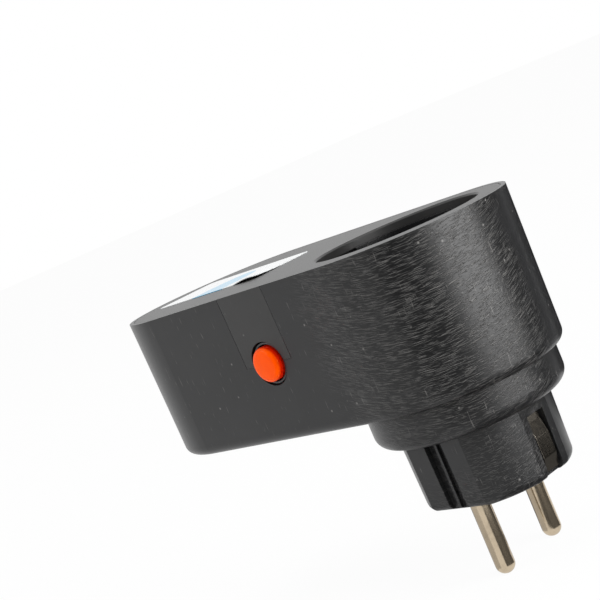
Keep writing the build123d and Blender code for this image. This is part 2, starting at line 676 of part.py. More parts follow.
def neutral_link():
    """A strip from the neutral pin's tail up to the neutral contact."""
    foot = RETAINER_Z + RETAINER_THICKNESS + CONTACT_THICKNESS / 2
    head = CONTACT_BASE_Z - CONTACT_THICKNESS / 2
    points = [(PIN_Y - LINK_FOOT, foot), (LINK_Y, foot), (LINK_Y, head), (PIN_Y - LINK_HEAD, head)]
    link = strip(points, CONTACT_THICKNESS, CONTACT_WIDTH - 4 * GAP, Plane.YZ, bend=TERMINAL_BEND)
    return link - cylinder(PIN_TAIL_RADIUS, RETAINER_Z, PIN_TAIL_TOP, 0, PIN_Y)


# Shutter and its spring

def shutter():
    x0 = -SHUTTER_WINDOW - SHUTTER_TRAVEL - SHUTTER_LIP
    z0 = INSERT_Z - RUNNING - SHUTTER_THICKNESS
    z1 = INSERT_Z - RUNNING
    plate = block(x0, x0 + SHUTTER_LENGTH, -SHUTTER_HALF_Y, SHUTTER_HALF_Y, z0, z1)
    plate = fillet(plate.edges().filter_by(Axis.Z), SHUTTER_CORNER)
    for side in (-1, 1):
        y = side * PIN_Y
        plate -= cylinder(SHUTTER_WINDOW, z0, z1, -SHUTTER_TRAVEL, y)
        # The ramp that a pin pushes on lies under the contact hole at rest
        half = RAMP_HALF_Y
        ramp = Pos(RAMP_X, y, z1) * Rot(0, RAMP_ANGLE, 0) * Box(RAMP_LENGTH, 2 * half, 2 * RAMP_DEPTH)
        plate -= ramp & block(-RAMP_REACH, RAMP_LENGTH, y - half, y + half, z0 + RAMP_DEPTH, TOP_Z)
    # The slot that holds the spring and clears the fixed post
    half = SHUTTER_SLOT_HALF
    plate -= block(SPRING_BACK_X, SPRING_POST_X + SPRING_POST + 2 * GAP, -half, half, z0, z1)
    return plate


def coil_spring(radius, length, turns):
    """A helix of fine wire along +Z from the origin."""
    pitch = (length - 2 * SPRING_WIRE) / turns
    helix = Helix(pitch=pitch, height=pitch * turns, radius=radius)
    start = Plane(origin=helix @ 0, z_dir=helix % 0)
    coil = sweep(start * RegularPolygon(SPRING_WIRE, 6), path=helix, is_frenet=True)
    return Pos(0, 0, SPRING_WIRE) * coil


def shutter_spring():
    length = SPRING_POST_X - SPRING_BACK_X
    spring = coil_spring(SHUTTER_SPRING_RADIUS, length, SHUTTER_SPRING_TURNS)
    return Pos(SPRING_BACK_X, 0, INSERT_Z - RUNNING - SHUTTER_THICKNESS / 2) * Rot(0, 90, 0) * spring


# Earth: a strap on each side, a bridge between them and two rivets

def earth_strap(side):
    """One strip: the plug's side contact below, a jog through the collar, and the socket's clip above."""
    top = TOP_Z - CLIP_TOP_DROP
    inner = STRAP_UPPER_X - 2 * CLIP_CURL
    points = [
        (STRAP_LOWER_X - GAP, STRAP_FOOT_Z),
        (STRAP_LOWER_X + STRAP_BULGE, STRAP_BULGE_LOW),
        (STRAP_LOWER_X + STRAP_BULGE, STRAP_BULGE_HIGH),
        (STRAP_LOWER_X, STRAP_BULGE_END),
        (STRAP_LOWER_X, COLLAR_FLOOR_Z + STRAP_JOG_LOW),
        (STRAP_UPPER_X, COLLAR_FLOOR_Z + STRAP_JOG_HIGH),
        (STRAP_UPPER_X, top + CLIP_CURL),
        (inner, top + CLIP_CURL),
        (inner - CLIP_LEAN, top - CLIP_LEAF),
        (inner + CLIP_TIP_IN, top - CLIP_TIP_DROP),
    ]
    strap = strip(points, STRAP_THICKNESS, STRAP_WIDTH, Plane.XZ, bend=CLIP_BEND)
    strap -= rod_x(EARTH_RIVET_RADIUS, STRAP_LOWER_X - 2, STRAP_LOWER_X + 2, 0, EARTH_RIVET_Z)
    return strap if side > 0 else Rot(0, 0, 180) * strap


def earth_bridge():
    z = COLLAR_FLOOR_Z + BRIDGE_LIFT + STRAP_THICKNESS / 2
    x = STRAP_LOWER_X - STRAP_THICKNESS
    top = EARTH_RIVET_Z + BRIDGE_UPSTAND
    points = [(-x, top), (-x, z), (x, z), (x, top)]
    bridge = strip(points, STRAP_THICKNESS, BRIDGE_WIDTH, Plane.XZ)
    for side in (-1, 1):
        near, far = sorted((side * (x - 1), side * (x + 1)))
        bridge -= rod_x(EARTH_RIVET_RADIUS, near, far, 0, EARTH_RIVET_Z)
    return bridge


def earth_rivets():
    rivets = []
    for side in (-1, 1):
        inner = STRAP_LOWER_X - 1.5 * STRAP_THICKNESS
        outer = STRAP_LOWER_X + STRAP_THICKNESS / 2
        near, far = sorted((side * inner, side * outer))
        rivet = rod_x(EARTH_RIVET_RADIUS, near, far, 0, EARTH_RIVET_Z)
        rivet += rod_x(EARTH_RIVET_HEAD, near - EARTH_RIVET_HEAD_HEIGHT, near, 0, EARTH_RIVET_Z)
        rivet += rod_x(EARTH_RIVET_HEAD, far, far + EARTH_RIVET_HEAD_HEIGHT, 0, EARTH_RIVET_Z)
        rivets.append(rivet)
    return Compound(children=rivets)


# Plug pins and their retainer

def plug_pin(y, cup):
    pin = cylinder(PIN_RADIUS, -PIN_LENGTH, 0, 0, y)
    pin = fillet(pin.edges().group_by(Axis.Z)[0], PIN_TIP_FILLET)
    pin += cylinder(PIN_ROOT_RADIUS, 0, NOSE_FLOOR, 0, y)
    pin += cylinder(PIN_FLANGE_RADIUS, NOSE_FLOOR, RETAINER_Z, 0, y)
    pin += cylinder(PIN_TAIL_RADIUS, RETAINER_Z, PIN_TAIL_TOP, 0, y)
    if cup:
        pin -= cylinder(CUP_BORE, RETAINER_Z + CUP_FLOOR, PIN_TAIL_TOP, 0, y)
    return pin


def pin_retainer():
    plate = cylinder(NOSE_BORE - SLOT_GAP, RETAINER_Z, RETAINER_Z + RETAINER_THICKNESS)
    for side in (-1, 1):
        plate -= cylinder(PIN_TAIL_RADIUS + GAP, RETAINER_Z, RETAINER_Z + RETAINER_THICKNESS, 0, side * PIN_Y)
        x = side * RETAINER_SCREW_X
        plate -= cylinder(SMALL_SCREW_RADIUS + GAP, RETAINER_Z, RETAINER_Z + RETAINER_THICKNESS, x, 0)
    return plate


# Breaker

def breaker_case():
    x0 = BREAKER_X - BREAKER_WIDTH / 2 + BREAKER_WALL
    x1 = BREAKER_X + BREAKER_WIDTH / 2
    w = BREAKER_WALL
    guide_end = GUIDE_Y + GUIDE_THICKNESS
    case = block(x0, x1, -BREAKER_FRONT, BREAKER_REAR, BREAKER_Z0, BREAKER_Z1)
    case = fillet(case.edges().filter_by(Axis.X), BREAKER_CORNER)
    case -= block(x0, x1 - w, -BREAKER_FRONT + w, BREAKER_REAR - w, BREAKER_Z0 + w, BREAKER_Z1 - w)
    # The inner wall that guides the stem and backs the spring
    guide = block(x0, x1 - w, GUIDE_Y, guide_end, BUTTON_Z - GUIDE_HALF, BUTTON_Z + SLIDER_TOP)
    case += guide - rod_y(STEM_RADIUS + STEM_CLEARANCE, GUIDE_Y, guide_end, BREAKER_X, BUTTON_Z)
    case -= rod_y(BUSH_RADIUS, -BREAKER_FRONT, -BREAKER_FRONT + w, BREAKER_X, BUTTON_Z)
    for z in (LINE_TERMINAL_Z, LOAD_TERMINAL_Z):
        half = TERMINAL_WIDTH / 2 + SEAM
        t = TERMINAL_THICKNESS / 2 + SEAM
        case -= block(BREAKER_X - half, BREAKER_X + half, BREAKER_REAR - w, BREAKER_REAR, z - t, z + t)
    for y, z in RIVET_POINTS:
        case += rod_x(RIVET_RADIUS + RIVET_BOSS, x0, x1 - w, y, z)
        case -= rod_x(RIVET_RADIUS, x0, x1, y, z)
    return case


def breaker_lid():
    x0 = BREAKER_X - BREAKER_WIDTH / 2
    lid = block(x0, x0 + BREAKER_WALL, -BREAKER_FRONT, BREAKER_REAR, BREAKER_Z0, BREAKER_Z1)
    lid = fillet(lid.edges().filter_by(Axis.X), BREAKER_CORNER)
    for y, z in RIVET_POINTS:
        lid -= rod_x(RIVET_RADIUS, x0, x0 + BREAKER_WALL, y, z)
    return lid


def breaker_rivets():
    rivets = []
    x0 = BREAKER_X - BREAKER_WIDTH / 2
    x1 = BREAKER_X + BREAKER_WIDTH / 2
    for y, z in RIVET_POINTS:
        rivet = rod_x(RIVET_RADIUS, x0, x1, y, z)
        rivet += rod_x(RIVET_HEAD, x0 - RIVET_HEAD_HEIGHT, x0, y, z)
        rivet += rod_x(RIVET_HEAD, x1, x1 + RIVET_HEAD_HEIGHT, y, z)
        rivets.append(rivet)
    return Compound(children=rivets)


def button_bush():
    front = -WALL_AT_BUTTON + BUSH_RECESS
    bush = rod_y(BUSH_RADIUS, front, BUSH_END_Y, BREAKER_X, BUTTON_Z)
    bush += rod_y(BUSH_FLANGE, -BREAKER_FRONT - BUSH_FLANGE_THICKNESS, -BREAKER_FRONT, BREAKER_X, BUTTON_Z)
    return bush - rod_y(BUTTON_RADIUS + RUNNING, front, BUSH_END_Y, BREAKER_X, BUTTON_Z)


def reset_button():
    front = -WALL_AT_BUTTON - BUTTON_PROUD
    cap = rod_y(BUTTON_RADIUS, front, FLANGE_Y, BREAKER_X, BUTTON_Z)
    cap = fillet(cap.edges().group_by(Axis.Y)[0], BUTTON_FILLET)
    cap += rod_y(FLANGE_RADIUS, FLANGE_Y, RETURN_SPRING_Y, BREAKER_X, BUTTON_Z)
    stem_end = SLIDER_Y + SLIDER_LENGTH / 2
    cap += rod_y(STEM_RADIUS, RETURN_SPRING_Y, stem_end, BREAKER_X, BUTTON_Z)
    return cap


def button_spring():
    spring = coil_spring(RETURN_SPRING_RADIUS, RETURN_SPRING_LENGTH, RETURN_SPRING_TURNS)
    return Pos(BREAKER_X, RETURN_SPRING_Y, BUTTON_Z) * Rot(-90, 0, 0) * spring


def trip_slider():
    """The insulating slider on the stem's end; its flag slides between the open contacts on a trip."""
    middle = SLIDER_Y + SLIDER_LENGTH / 2
    side = BREAKER_X + TERMINAL_WIDTH / 2 + 2 * GAP
    far = side + SLIDER_POST
    top = FLAG_Z + FLAG_THICKNESS
    low = BUTTON_Z - SLIDER_BOTTOM
    hub = block(BREAKER_X - SLIDER_HALF, far, SLIDER_Y, SLIDER_END_Y, low, BUTTON_Z + SLIDER_TOP)
    hub -= rod_y(STEM_RADIUS, SLIDER_Y, middle, BREAKER_X, BUTTON_Z)
    post = block(side, far, middle, SLIDER_END_Y, BUTTON_Z, top)
    flag = block(BREAKER_X - BIMETAL_WIDTH / 2, far, middle, SLIDER_END_Y, FLAG_Z, top)
    return hub + post + flag


def blade(points):
    """A terminal's strip in the middle plane of the breaker."""
    bent = strip(points, TERMINAL_THICKNESS, TERMINAL_WIDTH, Plane.YZ, bend=TERMINAL_BEND)
    return Pos(BREAKER_X, 0, 0) * bent


def line_terminal():
    """The fixed contact and its blade: under the bimetal, down behind the slider and out at the back."""
    points = [
        (TIP_Y - TIP_RADIUS, FIXED_Z),
        (JOG_Y, FIXED_Z),
        (JOG_Y, LINE_TERMINAL_Z),
        (TERMINAL_END_Y, LINE_TERMINAL_Z),
    ]
    wide = TERMINAL_WIDTH
    keep = block(BREAKER_X - wide, BREAKER_X + wide, JOG_Y, TERMINAL_END_Y, 0, TOP_Z)
    narrow = BIMETAL_WIDTH / 2
    keep += block(BREAKER_X - narrow, BREAKER_X + narrow, -HALF_WIDTH, JOG_Y + 1, 0, TOP_Z)
    tip = cylinder(TIP_RADIUS, FIXED_Z + TERMINAL_THICKNESS / 2, TIP_Z, BREAKER_X, TIP_Y)
    return (blade(points) & keep) + tip


def load_terminal():
    """The blade that the bimetal is riveted to."""
    z = BIMETAL_Z + BIMETAL_THICKNESS + TERMINAL_THICKNESS / 2
    points = [
        (BIMETAL_RIVET_Y - LOAD_BLADE_NOSE, z),
        (JOG_Y, z),
        (JOG_Y, LOAD_TERMINAL_Z),
        (TERMINAL_END_Y, LOAD_TERMINAL_Z),
    ]
    return blade(points) - cylinder(BIMETAL_RIVET, z - 1, z + 1, BREAKER_X, BIMETAL_RIVET_Y)


def bimetal_strip():
    """A springy strip with the moving contact at its free end, riveted under the load blade."""
    top = BIMETAL_Z + BIMETAL_THICKNESS
    head_z = top + TERMINAL_THICKNESS
    half = BIMETAL_WIDTH / 2
    leaf = block(BREAKER_X - half, BREAKER_X + half, TIP_Y - TIP_RADIUS, JOG_Y - 4 * GAP, BIMETAL_Z, top)
    tip = cylinder(TIP_RADIUS, TIP_Z, BIMETAL_Z, BREAKER_X, TIP_Y)
    rivet = cylinder(BIMETAL_RIVET, top, head_z, BREAKER_X, BIMETAL_RIVET_Y)
    head_top = head_z + BIMETAL_RIVET_HEAD_HEIGHT
    head = cylinder(BIMETAL_RIVET_HEAD, head_z, head_top, BREAKER_X, BIMETAL_RIVET_Y)
    return leaf + tip + rivet + head


def receptacle(z):
    """A push-on sleeve over a breaker blade, with a barrel that holds the wire."""
    half = TERMINAL_WIDTH / 2
    y0 = BREAKER_REAR + SLEEVE_WALL
    y1 = TERMINAL_END_Y
    wide = half + SLEEVE_WALL
    sleeve = block(BREAKER_X - wide, BREAKER_X + wide, y0, y1, z - SLEEVE_HALF, z + SLEEVE_HALF)
    sleeve = chamfer(sleeve.edges().filter_by(Axis.Y), SLEEVE_HALF / 2)
    t = TERMINAL_THICKNESS / 2 + SEAM
    sleeve -= block(BREAKER_X - half - SEAM, BREAKER_X + half + SEAM, y0, y1, z - t, z + t)
    barrel = rod_y(WIRE_RADIUS + SLEEVE_WALL, y1, y1 + SLEEVE_BARREL, BREAKER_X, z)
    bore = rod_y(WIRE_RADIUS + SEAM, WIRE_START_Y, y1 + SLEEVE_BARREL, BREAKER_X, z)
    return sleeve + (barrel - bore)


# Wires

def supply_wire():
    """From the breaker's lower sleeve, down beside the carrier and under it, into the cup of the line pin."""
    points = [
        (BREAKER_X, WIRE_START_Y, LINE_TERMINAL_Z),
        (BREAKER_X, WIRE_START_Y + 7.5, LINE_TERMINAL_Z),
        (BREAKER_X + 7, WIRE_START_Y + 10, LINE_TERMINAL_Z - 2),
        (-(INSERT_RADIUS - 5.7), COLLAR_INNER - 6, FLOOR_Z + 3.3),
        (-(INSERT_RADIUS - 8.1), 8.7, WIRE_PASS_Z + 0.9),
        (-8.6, 0.4, WIRE_PASS_Z - 0.3),
        (-3.5, -PIN_Y + 1.5, COLLAR_FLOOR_Z + 0.8),
        (0, -PIN_Y, PIN_TAIL_TOP + 4.9),
        (0, -PIN_Y, RETAINER_Z + CUP_FLOOR + GAP),
    ]
    return wire(points, WIRE_RADIUS)


def load_wire():
    """From the breaker's upper sleeve, down round the insert, into the barrel of the line contact."""
    points = [
        (BREAKER_X, WIRE_START_Y, LOAD_TERMINAL_Z),
        (BREAKER_X, WIRE_START_Y + 7.5, LOAD_TERMINAL_Z),
        (BREAKER_X + 5, WIRE_START_Y + 9.8, LOAD_TERMINAL_Z - 5.5),
        (-(INSERT_RADIUS - 1.7), INSERT_RADIUS - 4.1, INSERT_Z - 1.1),
        (-(INSERT_RADIUS - 5.5), INSERT_RADIUS - 11, INSERT_Z - 7.1),
        (BARREL_X, 4.0, BARREL_Z),
        (BARREL_X, BARREL_Y, BARREL_Z),
    ]
    return wire(points, WIRE_RADIUS)


# Screw groups

def cover_screws():
    z = FLOOR_Z + SCREW_SEAT - SCREW_HEAD_HEIGHT
    size = (SCREW_LENGTH, SCREW_RADIUS - SEAM, SCREW_HEAD, SCREW_HEAD_HEIGHT)
    return Compound(children=[screw(x, y, z, *size, recess=True) for x, y in COVER_SCREWS])


def insert_screws():
    z = EAR_TOP - EAR_THICKNESS - SMALL_SCREW_HEAD_HEIGHT
    size = (SMALL_SCREW_LENGTH, SMALL_SCREW_RADIUS, SMALL_SCREW_HEAD, SMALL_SCREW_HEAD_HEIGHT)
    return Compound(children=[screw(*at_angle(BOSS_REACH, a), z, *size) for a in INSERT_BOSS_ANGLES])


def retainer_screws():
    z = RETAINER_Z + RETAINER_THICKNESS + SMALL_SCREW_HEAD_HEIGHT
    length = RETAINER_THICKNESS + PIN_FLANGE + RETAINER_BITE - GAP
    size = (length, SMALL_SCREW_RADIUS, SMALL_SCREW_HEAD, SMALL_SCREW_HEAD_HEIGHT)
    return Compound(children=[screw(side * RETAINER_SCREW_X, 0, z, *size, up=-1) for side in (-1, 1)])


PIECES = {
    "base_shell": base_shell,
    "front_cover": front_cover,
    "rating_label": rating_label,
    "socket_insert": socket_insert,
    "contact_carrier": contact_carrier,
    "line_socket_contact": line_socket_contact,
    "neutral_socket_contact": neutral_socket_contact,
    "neutral_link": neutral_link,
    "shutter": shutter,
    "shutter_spring": shutter_spring,
    "earth_strap_right": lambda: earth_strap(1),
    "earth_strap_left": lambda: earth_strap(-1),
    "earth_bridge": earth_bridge,
    "earth_rivets": earth_rivets,
    "line_pin": lambda: plug_pin(-PIN_Y, True),
    "neutral_pin": lambda: plug_pin(PIN_Y, False),
    "pin_retainer": pin_retainer,
    "breaker_case": breaker_case,
    "breaker_lid": breaker_lid,
    "breaker_rivets": breaker_rivets,
    "button_bush": button_bush,
    "reset_button": reset_button,
    "button_spring": button_spring,
    "trip_slider": trip_slider,
    "line_terminal": line_terminal,
    "load_terminal": load_terminal,
    "bimetal_strip": bimetal_strip,
    "supply_receptacle": lambda: receptacle(LINE_TERMINAL_Z),
    "load_receptacle": lambda: receptacle(LOAD_TERMINAL_Z),
    "supply_wire": supply_wire,
    "load_wire": load_wire,
    "cover_screws": cover_screws,
    "insert_screws": insert_screws,
    "retainer_screws": retainer_screws,
}

os.makedirs("parts", exist_ok=True)
for name, make in PIECES.items():
    solid = make()
    export_step(solid, f"parts/{name}.step")
    print(name, round(solid.volume, 1))
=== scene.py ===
from math import cos, radians, sin

import bmesh
import bpy
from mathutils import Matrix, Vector


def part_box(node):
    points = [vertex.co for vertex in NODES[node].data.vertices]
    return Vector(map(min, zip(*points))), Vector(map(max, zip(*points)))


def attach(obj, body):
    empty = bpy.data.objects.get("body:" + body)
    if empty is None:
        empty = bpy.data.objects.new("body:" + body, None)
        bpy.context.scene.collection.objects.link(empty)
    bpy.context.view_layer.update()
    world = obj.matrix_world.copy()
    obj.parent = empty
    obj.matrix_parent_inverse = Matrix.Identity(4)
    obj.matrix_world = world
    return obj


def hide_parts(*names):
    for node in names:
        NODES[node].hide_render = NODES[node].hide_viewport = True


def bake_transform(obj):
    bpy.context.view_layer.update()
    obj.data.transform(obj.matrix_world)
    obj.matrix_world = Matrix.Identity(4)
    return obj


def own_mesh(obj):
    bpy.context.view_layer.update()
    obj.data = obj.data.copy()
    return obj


# Looks of the overload protection socket adapter. Metres, in the part's own frame.
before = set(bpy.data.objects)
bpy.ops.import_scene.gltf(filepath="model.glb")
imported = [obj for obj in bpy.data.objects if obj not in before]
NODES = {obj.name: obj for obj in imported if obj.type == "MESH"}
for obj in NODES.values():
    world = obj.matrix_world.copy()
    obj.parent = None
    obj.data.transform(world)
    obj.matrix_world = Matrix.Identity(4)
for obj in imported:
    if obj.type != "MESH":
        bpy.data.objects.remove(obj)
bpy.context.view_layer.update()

MM = 0.001
WHITE = (1.0, 1.0, 1.0)

# Sizes that the looks follow, read from the pieces themselves
SHELL_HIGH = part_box("base_shell")[1]
TOP_Z = SHELL_HIGH.z
HALF_WIDTH = SHELL_HIGH.y
LABEL_LOW, LABEL_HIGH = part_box("rating_label")
BUTTON_LOW, BUTTON_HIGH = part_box("reset_button")
BUSH_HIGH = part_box("button_bush")[1]
PIN_LOW, PIN_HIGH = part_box("line_pin")
PIN_Y = -(PIN_LOW.y + PIN_HIGH.y) / 2
FLOOR_Z = PIN_LOW.z

# Plug nose: its height, and its near flat face at about half that height, as the face slopes a little,
# with the fade of the scuffs across it, from its inner to its outer side
NOSE_TOP = 17.8 * MM
NOSE_FLAT = -16.3 * MM
NOSE_FLAT_INNER = 0.2 * MM
NOSE_FLAT_OUTER = 0.1 * MM

# Scuffed area, which also holds the painted shade: where it fades on the flat side, on the plug and below the
# top
SIDE_FADE = 10 * MM
SIDE_RAGGED = 14 * MM
PLUG_FADE = 9 * MM
PLUG_SCUFF_AND_SHADE = 0.55
TOP_CLEAR = 0.05 * MM
TOP_FADE = 0.4 * MM

# Its fade past the middle of the end, in plain millimetres along the wall
END_FULL = 3.0
END_NONE = 11.0
END_RAGGED = 7.0

# Scratches: their slope, which grows towards and round the end, and the three sets in plain millimetres
STROKE_SLOPE = 0.31
STROKE_CURVE = 0.0066
STROKES = (
    {"tilt": -0.05, "length": 3.2, "width": 0.22, "low": 0.57, "high": 0.67, "seed": 3.1, "weight": 0.5},
    {"tilt": 0.06, "length": 2.8, "width": 0.22, "low": 0.57, "high": 0.67, "seed": 7.7, "weight": 0.5},
    {"tilt": -0.26, "length": 1.6, "width": 0.26, "low": 0.60, "high": 0.74, "seed": 5.3, "weight": 0.2},
)

# Pale specks: how many to a metre, which of them show, and their edge
SPECK_SCALE = 330.0
SPECK_CHOICE = (0.66, 0.90)
SPECK_EDGE = (0.13, 0.03)

# Upright marks on the walls, in plain millimetres
MARK_CHOICE = (0.70, 0.80)
MARK_WIDTH = 0.35
MARK_HEIGHT = 4.0
MARK_SEED = 9.4
MARK_STRENGTH = 0.5

# Relief of the plastic and the roundness of its edges
GRAIN = 0.05
SCRATCH_RELIEF = 0.9
PLASTIC_RELIEF = 0.14 * MM
PLASTIC_EDGE = 0.25 * MM
METAL_EDGE = 0.15 * MM
FINE_RELIEF = 0.01 * MM

# Colours of the plastic: its clouds, the near-black painted shade laid over the scuffed area, and the
# scratches and specks
CHARCOAL = (0.011, 0.011, 0.0115)
CLOUD_DARK = 0.9
CLOUD_LIGHT = 1.12
PAINTED_SHADE_GROUND = (0.002, 0.002, 0.002)
PAINTED_SHADE_SHARE = 0.6
PALE = (0.09, 0.087, 0.083)
SCRATCH_SHARE = 0.85
SPECK_PALE = 1.9
SPECK_SHARE = 0.8

# Spread of roughness that each kind of unevenness brings, about the noise's middle in the plastic
NOISE_MIDDLE = 0.5
GRAIN_ROUGH = 0.12
WORN_SMOOTH = 0.06
FLOW_ROUGH = 0.06
DRAWN_ROUGH = 0.12
TARNISH_ROUGH = 0.08
FIBRE_ROUGH = 0.1

# Metal: its drawn lines, stretched upwards, and the painted shade that darkens it on the plug
DRAWN_STRETCH = 0.06
PAINTED_SLOT_SHADE = (0.05, 0.035, 0.02)
PAINTED_SLOT_SHADE_FADE = 4 * MM

# Label: its corners, the corner that has let go, and the plain block of colour on it
LABEL_CORNER = 2.0 * MM
LABEL_LIFT = 0.7 * MM
LABEL_LIFT_LENGTH = 9.0 * MM
LABEL_LIFT_WIDTH = 11.0 * MM
LABEL_WAVE_TURN = 125
LABEL_LIFT_FALL = 1.4
LABEL_STEPS = 64
LABEL_ROWS = 28
LABEL_CORNER_STEPS = (0.0, 0.02, 0.08, 0.18, 0.32, 0.5, 0.72)
BLOCK_ASIDE = 1.2 * MM
BLOCK_HALF = 6.6 * MM
BLOCK_LENGTH = 16.5 * MM
BLOCK_ROUND = 2.6
BLOCK_EDGE = (1.02, 0.98)
LABEL_ROUGH = 0.26

# Reset button
BUTTON_RADIUS = 4.4 * MM
BUTTON_ROUND = 1.2 * MM
BUTTON_CROWN = 0.12 * MM
BUTTON_LOWER = 0.8 * MM
FLANGE_GAP = 2.9 * MM
BUTTON_SIDES = 72
CROWN_STEPS = (0.25, 0.5, 0.75)
RIM_STEPS = 10
FLANGE_RADIUS = 5.7 * MM
FLANGE_THICKNESS = 1.2 * MM
STEM_RADIUS = 1.8 * MM
# Depths behind the crown over which the side of the cap darkens to a painted shade of deep red
RIM_SHADE_NEAR = 0.5 * MM
RIM_SHADE_FAR = 1.3 * MM

# Edges sharper than this many degrees stay sharp
SHARP_ANGLE = 40

# Studio
FLOOR_HALF = 6.0
FLOOR_GLOW = 0.95
WORLD_FILL = 0.55

# Upright cards about the socket's axis: from and to in degrees from +X, distance, top, tone
STANDING_CARDS = {
    "card_front": (-76, -26, 0.20, 0.20, 0.05),
    "card_right": (30, 80, 0.20, 0.20, 0.03),
    "card_back": (80, 150, 0.14, 0.063, 0.02),
}

# Cards on the floor about each pin: from and to in degrees from +X, tone. Each set lies a step higher,
# in plain millimetres over the floor
PIN_CARDS = {
    "card_pin_dark": (-38, 62, 0.12),
    "card_pin_edge": (140, 183, 0.22),
    "card_pin_side": (188, 262, 0.62),
}
PIN_CARD_LEVEL = 0.2
PIN_CARD_STEP = 0.1
PIN_CARD_NEAR = 6 * MM
PIN_CARD_FAR = 70 * MM

# One more card there, for the plug's side contact
STRAP_CARD_LEVEL = 0.5 * MM
STRAP_CARD_TURNS = (20, 75)
STRAP_CARD_NEAR = 55 * MM
STRAP_CARD_FAR = 160 * MM
STRAP_CARD_TONE = 0.02

# Straight steps along each edge of a card on the floor
CARD_STEPS = 6

# Lamps: place, aim, size, watts
LAMPS = {
    "window": ((-0.5, -1.1, 0.75), (-0.03, 0.0, 0.04), (0.9, 0.7), 6.1),
    "end_strip": ((0.214, 0.02, 0.10), (0.0, 0.0, 0.10), (0.17, 0.22), 0.80),
    "overhead": ((-0.2, 0.3, 1.3), (-0.02, 0.0, 0.04), (1.0, 0.8), 4.7),
}

# Camera at the photograph's viewing angle
CAMERA_PLACE = (0.246024, -0.247432, 0.092237)
CAMERA_TURN = (83.854, 23.0179, 46.8522)
CAMERA_LENS = 90.8392
CAMERA_NEAR = 0.01
SENSOR = 36.0


# Node helpers

class Nodes:
    """A material's node tree, written one node at a time."""

    def __init__(self, name):
        self.material = bpy.data.materials.new(name)
        self.material.use_nodes = True
        self.tree = self.material.node_tree
        self.shader = self.tree.nodes["Principled BSDF"]
        self.position = self.new("ShaderNodeTexCoord").outputs["Object"]

    def new(self, kind, **settings):
        node = self.tree.nodes.new(kind)
        for key, value in settings.items():
            setattr(node, key, value)
        return node

    def put(self, socket, value):
        """Links an output to a socket, or sets the socket to a plain value."""
        if isinstance(value, bpy.types.NodeSocket):
            self.tree.links.new(value, socket)
        else:
            socket.default_value = value

    def math(self, operation, a, b=0.0):
        node = self.new("ShaderNodeMath", operation=operation)
        self.put(node.inputs[0], a)
        self.put(node.inputs[1], b)
        return node.outputs[0]

    def plus(self, base, field, share):
        """The base, with the field added to it times the share."""
        return self.math("ADD", base, self.math("MULTIPLY", field, share))

    def split(self, vector):
        node = self.new("ShaderNodeSeparateXYZ")
        self.put(node.inputs[0], vector)
        return node.outputs

    def join(self, x, y, z):
        node = self.new("ShaderNodeCombineXYZ")
        for socket, value in zip(node.inputs, (x, y, z)):
            self.put(socket, value)
        return node.outputs[0]

    def noise(self, scale, detail=2.0, rough=0.5, vector=None, distortion=0.0):
        node = self.new("ShaderNodeTexNoise")
        self.put(node.inputs["Vector"], self.position if vector is None else vector)
        node.inputs["Scale"].default_value = scale
        node.inputs["Detail"].default_value = detail
        node.inputs["Roughness"].default_value = rough
        node.inputs["Distortion"].default_value = distortion
        return node.outputs["Fac"]

    def cells(self, scale):
        """Distance to the nearest of many scattered points, and that point's own random colour."""
        node = self.new("ShaderNodeTexVoronoi")
        self.put(node.inputs["Vector"], self.position)
        node.inputs["Scale"].default_value = scale
        return node.outputs["Distance"], node.outputs["Color"]

    def step(self, value, low, high, out_low=0.0, out_high=1.0):
        """A smooth step from out_low to out_high as value goes from low to high."""
        node = self.new("ShaderNodeMapRange", interpolation_type="SMOOTHSTEP")
        names = ("Value", "From Min", "From Max", "To Min", "To Max")
        for name, number in zip(names, (value, low, high, out_low, out_high)):
            self.put(node.inputs[name], number)
        return node.outputs[0]

    def mix(self, factor, a, b):
        """A mix of two colours, each an output or a plain colour of three numbers."""
        node = self.new("ShaderNodeMix", data_type="RGBA")
        self.put(node.inputs[0], factor)
        self.put(node.inputs[6], (*a, 1.0) if isinstance(a, tuple) else a)
        self.put(node.inputs[7], (*b, 1.0) if isinstance(b, tuple) else b)
        return node.outputs[2]

    def bevel(self, radius):
        """The surface's normal with its edges rounded."""
        node = self.new("ShaderNodeBevel", samples=4)
        node.inputs["Radius"].default_value = radius
        return node.outputs[0]

    def bump(self, height, distance, strength, normal=None):
        node = self.new("ShaderNodeBump")
        node.inputs["Strength"].default_value = strength
        node.inputs["Distance"].default_value = distance
        self.put(node.inputs["Height"], height)
        if normal is not None:
            self.put(node.inputs["Normal"], normal)
        return node.outputs[0]

    def set(self, **inputs):
        """Sets the shader's own sockets, named with underscores for spaces."""
        for key, value in inputs.items():
            socket = self.shader.inputs[key.replace("_", " ")]
            if isinstance(value, tuple):
                value = (*value, 1.0)
            self.put(socket, value)
        return self.material


def scaled(colour, factor):
    return tuple(c * factor for c in colour)


# Moulded plastic, scuffed and darkened with painted shade at the socket end and on the plug

def around(m):
    """Millimetres along the housing's side wall, from the middle of its socket end and negative on the
    button's side, and the height."""
    x, y, z = m.split(m.position)
    front = m.math("MAXIMUM", x, 0.0)
    behind = m.math("MINIMUM", x, 0.0)
    angle = m.math("ARCTAN2", y, front)
    arc = m.math("MULTIPLY", angle, HALF_WIDTH)
    side = m.math("SIGN", y)
    along = m.math("SUBTRACT", arc, m.math("MULTIPLY", side, behind))
    return m.math("DIVIDE", along, MM), m.math("DIVIDE", z, MM)


def strokes(m, along, height, tilt, length, width, low, high, seed, weight):
    """One set of short scratches along the wall, which rise more and more round the socket end."""
    steeper = m.math("MULTIPLY", m.math("MULTIPLY", along, along), STROKE_CURVE)
    rise = m.math("ADD", m.math("MULTIPLY", along, STROKE_SLOPE + tilt), steeper)
    u = m.math("DIVIDE", along, length)
    v = m.math("DIVIDE", m.math("SUBTRACT", height, rise), width)
    field = m.noise(1.0, detail=1.0, vector=m.join(u, v, seed))
    return m.math("MULTIPLY", m.step(field, low, high), weight)


